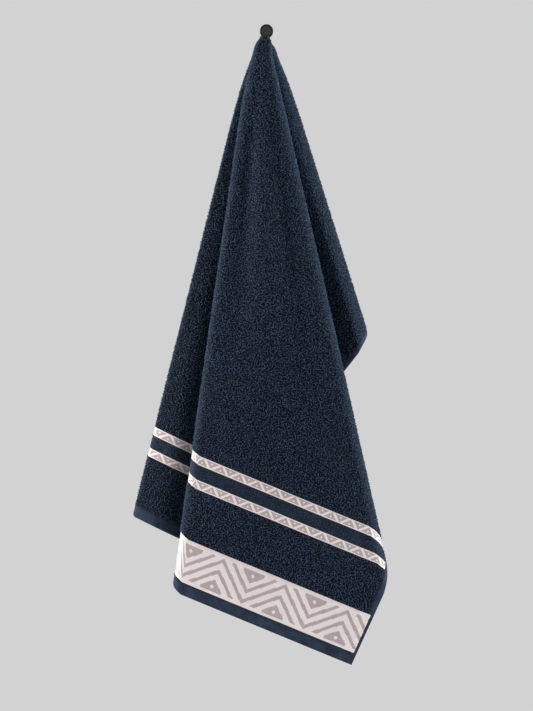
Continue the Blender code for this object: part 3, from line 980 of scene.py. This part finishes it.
def growPile(towel):
    chance = np.random.default_rng(pileSpec["seed"])
    points, normals, flats = scatterOnCloth(towel.data, chance)
    points, normals, flats = keepRows(isPile(flats[:, 0], flats[:, 1]), points, normals, flats)
    tree = BVHTree.FromObject(towel, bpy.context.evaluated_depsgraph_get())
    points, normals, flats = keepRows(canBeSeen(tree, points, normals), points, normals, flats)
    points, normals, flats = keepRows(thinOut(points, normals), points, normals, flats)
    height, fromFar = flats[:, 1], towelCut["length"] - flats[:, 1]
    near, far = borders["nearStripes"], borders["farStripes"]
    isShort = (height > near[0][0]) & (height < near[1][1]) | (fromFar > far[0][0]) & (fromFar < far[1][1])
    scales = np.where(isShort, pileSpec["shortPile"], 1.0)
    centres = points - normals * pileSpec["sink"]
    axes = clothAxes(normals, chance, pileSpec["lean"])
    sizes = chance.uniform(*pileSpec["sizes"], size=(len(centres), 3)) * scales[:, None]
    toPoint = np.hypot(flats[:, 0] - towelCut["pointAcross"], height - towelCut["pointHeight"])
    sizes[:, 2] *= mix(pileSpec["tipTall"], 1.0, np.clip(toPoint / pileSpec["tipLength"], 0.0, 1.0))
    tones = chance.uniform(0.0, 1.0, size=len(centres))
    order = np.argsort(centres[:, 2])[::-1]
    loop, faces = modelLoop()
    pieces = []
    for number, start in enumerate(range(0, len(order), pileSpec["perPiece"])):
        part = order[start:start + pileSpec["perPiece"]]
        pieces.append(joinCopies(
            f"terry_loops_{number + 1}", loop, faces, centres[part], axes[part], sizes[part], tones[part]))
    print("terry loops:", len(centres), "in", len(pieces), "pieces")
    return pieces


def loopMaterial():
    material, start, shader = newMaterial("terry_yarn")
    tone, rise = (
        start.make("ShaderNodeAttribute", {"attribute_name": name}, {}, out="Fac")
        for name in ("yarnTone", "yarnShadeRise"))
    place = objectPlace(start)
    # loops darker towards their feet and lighter on top by their height: painted shade and painted highlight,
    # on top of a random tone
    shade = (tone * 0.45 + place.noise(pileSpec["driftScale"]) * 0.14 + 0.31) * (rise * 0.68 + 0.32)
    feed(shader, "Base Color", shade.colour(cottonColours["terryGapShade"], cottonColours["terryTip"]))
    addBump(shader, 0.4, 0.0003, place.noise(pileSpec["twistScale"], detail=1.0))
    setShader(shader, {
        "Roughness": 0.9, "Sheen Weight": 0.60, "Sheen Roughness": 0.30,
        "Sheen Tint": cottonColours["sheen"], "Specular IOR Level": 0.05})
    return material


# hem stitches

stitchSpec = {
    "long": 0.0026, "pitch": 0.0034, "thread": 0.00026, "inset": 0.0009, "lift": 0.0001,
    "fromEnd": 0.002, "reach": 0.0012,      # half the run over which its direction is read
    "straight": 0.6, "endLong": 0.2, "endDrop": 0.6, "endThin": 0.45, "fibreScale": 1900.0,
}


def sewHems(table):
    width, length = towelCut["width"], towelCut["length"]
    sideLine = towelCut["sideHem"] - stitchSpec["inset"]
    endLine = towelCut["endHem"] - stitchSpec["inset"]
    first = stitchSpec["fromEnd"]
    rising = np.arange(first, length - first, stitchSpec["pitch"])
    over = np.arange(first, width - first, stitchSpec["pitch"])
    rising = rising[(rising < borders["bandLow"]) | (rising > borders["bandHigh"])]
    lines = [(np.full(len(rising), place), rising, (0.0, 1.0)) for place in (sideLine, width - sideLine)]
    lines += [(over, np.full(len(over), place), (1.0, 0.0)) for place in (endLine, length - endLine)]
    centres, axes = [], []
    reach = stitchSpec["reach"]
    for across, height, (dx, dy) in lines:
        points, normals, halves = placeOnCloth(table, across, height)
        ahead = placeOnCloth(table, across + dx * reach, height + dy * reach)[0]
        behind = placeOnCloth(table, across - dx * reach, height - dy * reach)[0]
        along = ahead - behind
        for side in (1.0, -1.0):
            up = normals * side
            run = unit(squareTo(up, along))
            centres.append(points + up * (halves[:, None] + stitchSpec["lift"]))
            axes.append(np.stack([run, np.cross(up, run), up], axis=2))
    centres, axes = np.concatenate(centres), np.concatenate(axes)
    points, faces = modelStitch()
    ones = np.ones((len(centres), 3))
    piece = joinCopies("hem_stitches", points, faces, centres, axes, ones, np.full(len(centres), 0.5))
    print("hem stitches:", len(centres))
    return piece


def threadMaterial():
    material, start, shader = newMaterial("sewing_thread")
    fibre = objectPlace(start).noise(stitchSpec["fibreScale"])
    feed(shader, "Base Color", fibre.colour(cottonColours["navyDeep"], cottonColours["thread"]))
    addBump(shader, 0.4, 0.0002, fibre)
    setShader(shader, {"Roughness": 0.9, "Specular IOR Level": 0.1})
    return material


# the hook keeps its solid and gets a satin powder coat

# the coat is painted near black towards the disc's rim: painted shade on its bevelled edge
hookFinish = {
    "face": linear(48, 49, 50), "rim": linear(5, 6, 7), "faceRadius": 0.0043, "rimRadius": 0.0047,
    "rough": 0.45, "roughSpread": 0.2, "grainScale": 2400.0,
}


def hookMaterial():
    material, start, shader = newMaterial("charcoal_coat")
    place = objectPlace(start)
    across, high = place.axis(0), place.axis(2)
    radius = start.sum("SQRT", across * across + high * high)
    rimShadeShare = start.make(
        "ShaderNodeMapRange", {"interpolation_type": "SMOOTHSTEP"},
        {0: radius, 1: hookFinish["faceRadius"], 2: hookFinish["rimRadius"], 3: 0.0, 4: 1.0})
    grain = place.noise(hookFinish["grainScale"])
    # painted shade: the face colour runs to near black at the disc's rim
    feed(shader, "Base Color", rimShadeShare.colour(hookFinish["face"], hookFinish["rim"]))
    feed(shader, "Roughness", grain * hookFinish["roughSpread"] + hookFinish["rough"])
    addBump(shader, 0.25, 0.0001, grain)
    setShader(shader, {"Specular IOR Level": 0.3})
    return material


# studio

studio = {
    "pixel": 0.8815e-3, "rows": 711, "hookRow": 30.8, "sensor": 36.0, "clipEnd": 20.0,
    "distance": 4.0, "plane": -0.065, "hookFront": -0.012,
    "floor": -0.90, "floorSize": (9.5, 14.0), "floorMiddle": (1.75, -4.0), "floorGlow": 0.20,
    "worldGrey": linear(210, 210, 210), "fillShare": 0.07, "floorGrey": linear(160, 160, 158),
}

lampColumns = ("name", "place", "aim", "width", "power", "colour")
lampRows = (
    ("left", (-2.7, -0.44, 0.45), (0.0, -0.06, -0.28), 0.6, 168.0, (1.0, 0.985, 0.965)),
    ("right", (2.5, -0.55, 0.2), (0.0, -0.06, -0.28), 0.7, 106.0, (0.96, 0.98, 1.0)),
    ("front", (-0.3, -3.2, 0.6), (0.0, -0.06, -0.28), 1.2, 4.0, (1.0, 1.0, 1.0)),
    ("back", (0.6, 2.2, 1.2), (0.0, -0.03, -0.28), 1.6, 16.0, (1.0, 1.0, 1.0)),
)


def buildFloor():
    deselectAll()
    bpy.ops.mesh.primitive_plane_add(size=1.0, location=(*studio["floorMiddle"], studio["floor"]))
    floor = bpy.context.object
    floor.name = "studio_floor"
    floor.scale = (*studio["floorSize"], 1.0)
    bpy.ops.object.transform_apply(location=True, rotation=True, scale=True)
    material, _, shader = newMaterial("pale_floor")
    setShader(shader, {
        "Base Color": studio["floorGrey"], "Roughness": 0.8,
        "Emission Color": (1.0, 1.0, 0.99, 1.0), "Emission Strength": studio["floorGlow"]})
    floor.data.materials.append(material)


def lightRoom():  # pale to the camera, and only a share of that as light
    world = bpy.data.worlds.new("soft_room")
    world.use_nodes = True
    backdrop = world.node_tree.nodes["Background"]
    setShader(backdrop, {"Color": studio["worldGrey"]})
    seen = Signal(world.node_tree).make("ShaderNodeLightPath", {}, {}, out="Is Camera Ray")
    feed(backdrop, "Strength", seen * (1.0 - studio["fillShare"]) + studio["fillShare"])
    bpy.context.scene.world = world
    bpy.context.scene.view_settings.view_transform = "Standard"


def hangLamps():
    for row in lampRows:
        lamp = dict(zip(lampColumns, row))
        data = bpy.data.lights.new(lamp["name"] + "_light", "AREA")
        data.shape = "DISK"
        data.size = lamp["width"]
        data.energy = lamp["power"]
        data.color = lamp["colour"]
        light = addObject(lamp["name"] + "_light", data)
        light.location = lamp["place"]
        toAim = Vector(lamp["aim"]) - light.location
        light.rotation_euler = toAim.to_track_quat("-Z", "Y").to_euler()


def placeCamera():
    distance = studio["distance"]
    data = bpy.data.cameras.new("studio_camera")
    data.sensor_width = studio["sensor"]
    data.lens = data.sensor_width * distance / (studio["rows"] * studio["pixel"])
    data.clip_end = studio["clipEnd"]
    camera = addObject("studio_camera", data)
    toHook = distance + studio["hookFront"] - studio["plane"]
    below = (0.5 * studio["rows"] - studio["hookRow"]) * studio["pixel"] * toHook / distance
    camera.location = (0.0, studio["plane"] - distance, -below)
    camera.rotation_euler = (0.5 * pi, 0.0, 0.0)
    bpy.context.scene.camera = camera


# put together

towel, stations, middle, places, thick, normals = buildTowel()
towel.data.materials.append(clothMaterial())
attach(towel, "root")
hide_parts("towel")

table = clothTable(stations, middle, places, thick, normals)
dressing = []
yarn = loopMaterial()
for piece in growPile(towel):
    piece.data.materials.append(yarn)
    dressing.append(piece)
stitches = sewHems(table)
stitches.data.materials.append(threadMaterial())
dressing.append(stitches)
for piece in dressing:
    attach(piece, "root")

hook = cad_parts["wall_hook"]
hook.data.materials.clear()
hook.data.materials.append(hookMaterial())

buildFloor()
lightRoom()
hangLamps()
placeCamera()
print("studio ready")
